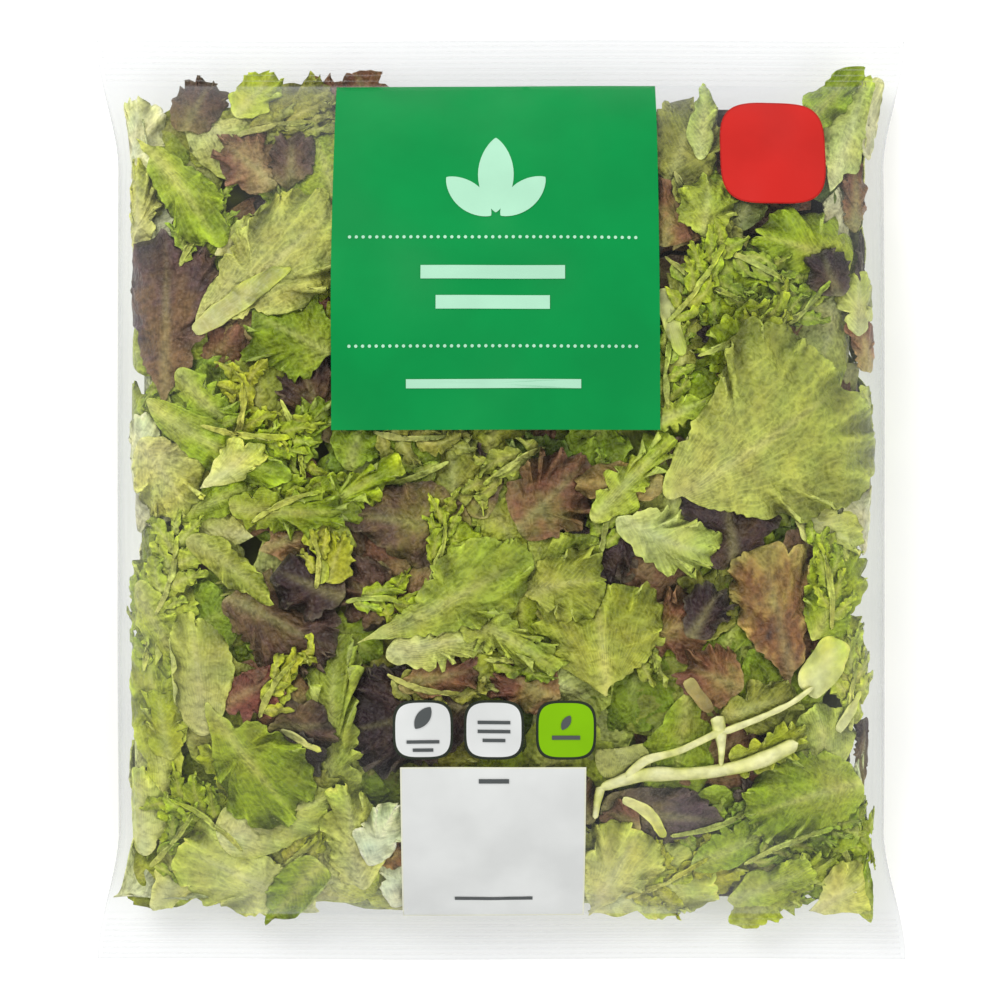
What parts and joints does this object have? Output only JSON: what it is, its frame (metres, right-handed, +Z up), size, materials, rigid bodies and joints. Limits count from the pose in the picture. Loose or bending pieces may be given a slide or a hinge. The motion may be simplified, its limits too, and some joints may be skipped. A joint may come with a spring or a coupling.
{
  "type": "bag of salad leaves",
  "caption": "Sealed pillow bag of clear film, filled with mixed green and red salad leaves, with crimped end seals and printed panels on its front.",
  "frame": {"origin": "under the middle of the bag, on the surface that it lies on", "axes": "+Z up out of the printed face, +Y along the bag towards its top seal, +X to the right as the print is read"},
  "size_m": [0.22, 0.25, 0.053],
  "materials": {
    "film": "clear glossy film over mixed leaves",
    "leaves": "fresh leaves, satin",
    "print": "ink on film"
  },
  "bodies": {
    "root": {"salad_bag": "film"}
  },
  "joints": []
}
